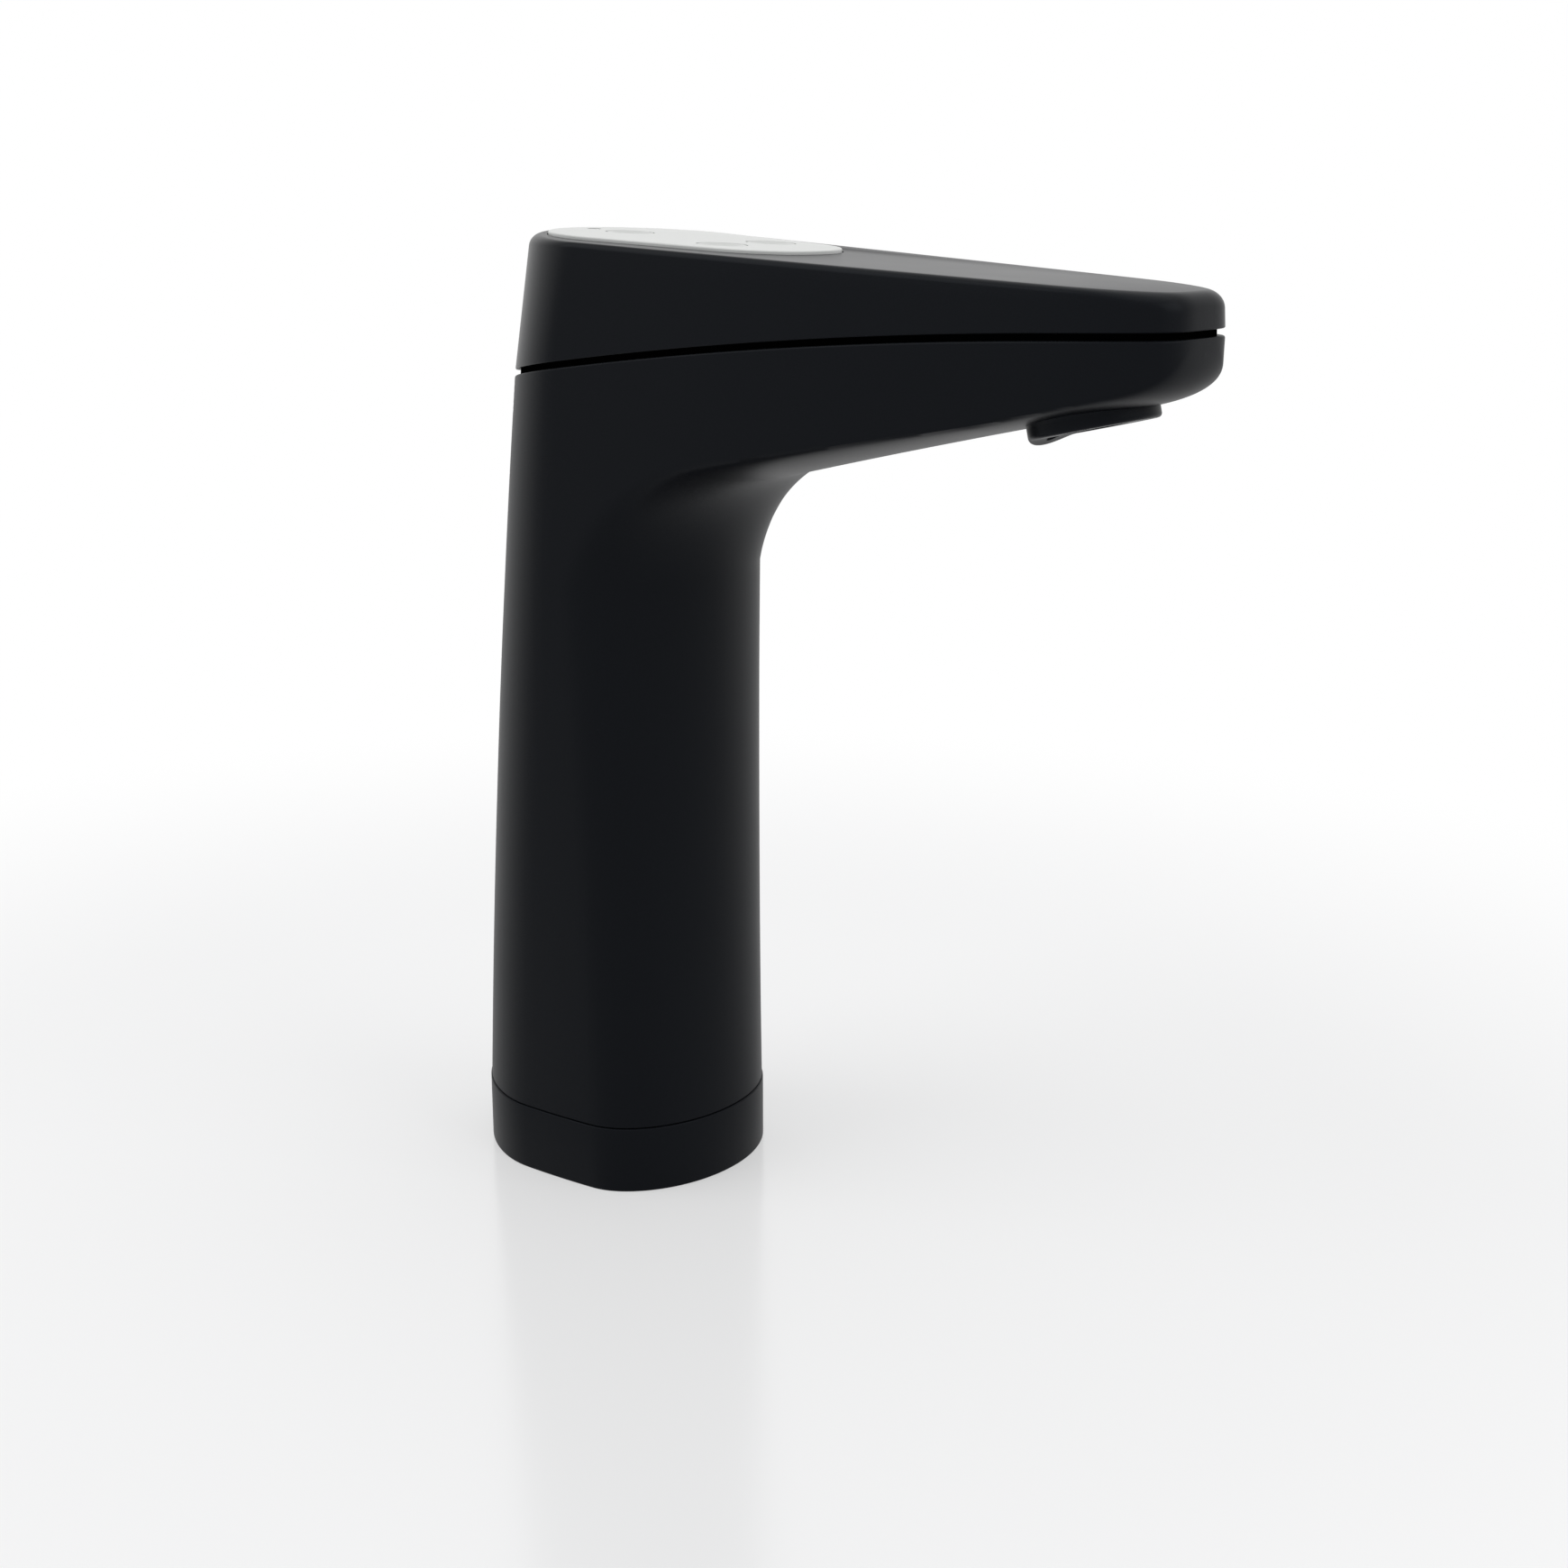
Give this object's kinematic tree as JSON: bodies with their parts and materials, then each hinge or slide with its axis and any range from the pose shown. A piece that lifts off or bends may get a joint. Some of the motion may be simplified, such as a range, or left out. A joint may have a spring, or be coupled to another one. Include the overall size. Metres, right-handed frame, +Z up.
{
  "type": "boiling water tap",
  "caption": "Worktop tap with a tapered column, a wedge-shaped head reaching forward to a tilted outlet, and dished push buttons in a top panel.",
  "frame": {"origin": "centre of the base on the worktop", "axes": "+Z up, +X from the column towards the outlet, +Y to the left of someone who faces the outlet's way"},
  "size_m": [0.2143, 0.0756, 0.2498],
  "materials": {
    "satin_black_metal": "satin black powder coat on cast metal",
    "satin_black_plastic": "satin black moulded cover, matched to the body",
    "black_liner": "plain black moulded inner frame",
    "silver_panel": "satin silver-grey control panel",
    "silver_button": "satin silver-grey dished button",
    "foam": "closed-cell gasket",
    "smoked_lens": "smoked clear light guide",
    "brass": "machined brass",
    "steel": "bright stainless steel",
    "rubber": "black seal rubber",
    "board": "green circuit board laminate",
    "switch_black": "black moulded switch and socket housings",
    "silicone": "translucent silicone tube",
    "nylon": "natural nylon moulding",
    "cable": "dark grey cable jacket"
  },
  "bodies": {
    "tap": {"base_plate": "brass", "base_ring": "satin_black_metal", "base_screw_1": "steel", "base_screw_2": "steel", "base_screw_3": "steel", "base_screw_4": "steel", "base_seal": "rubber", "block_screw_1": "steel", "block_screw_2": "steel", "board_screw_1": "steel", "board_screw_2": "steel", "board_screw_3": "steel", "board_screw_4": "steel", "boiling_tube": "silicone", "button_spring_boiling": "steel", "button_spring_chilled": "steel", "button_spring_safety": "steel", "cable_plug": "nylon", "cable_socket": "switch_black", "chilled_tube": "silicone", "circuit_board": "board", "column_body": "satin_black_metal", "control_cable": "cable", "control_panel": "silver_panel", "cover_screw_1": "steel", "cover_screw_2": "steel", "flow_straightener": "nylon", "frame_screw_1": "steel", "frame_screw_2": "steel", "frame_screw_3": "steel", "frame_screw_4": "steel", "head_cover": "satin_black_plastic", "head_frame": "black_liner", "nozzle_seal": "rubber", "outlet_block": "nylon", "outlet_nozzle": "steel", "panel_pad": "foam", "status_led": "nylon", "status_lens": "smoked_lens", "switch_boiling": "switch_black", "switch_chilled": "switch_black", "switch_safety": "switch_black", "tube_clip_1": "nylon", "tube_clip_2": "nylon", "vent_nozzle": "steel", "vent_tube": "silicone"},
    "boiling_button": {"button_boiling": "silver_button"},
    "chilled_button": {"button_chilled": "silver_button"},
    "safety_button": {"button_safety": "silver_button"}
  },
  "joints": [
    {"name": "boiling_press", "type": "slide", "parent": "tap", "child": "boiling_button", "axis": [-0.0561, 0, -0.9984], "range_m": [0, 0.0008], "stiffness_N_per_m": 600, "deforming": ["button_spring_boiling"]},
    {"name": "chilled_press", "type": "slide", "parent": "tap", "child": "chilled_button", "axis": [-0.0561, 0, -0.9984], "range_m": [0, 0.0008], "stiffness_N_per_m": 600, "deforming": ["button_spring_chilled"]},
    {"name": "safety_press", "type": "slide", "parent": "tap", "child": "safety_button", "axis": [-0.0561, 0, -0.9984], "range_m": [0, 0.0008], "stiffness_N_per_m": 600, "deforming": ["button_spring_safety"]}
  ]
}
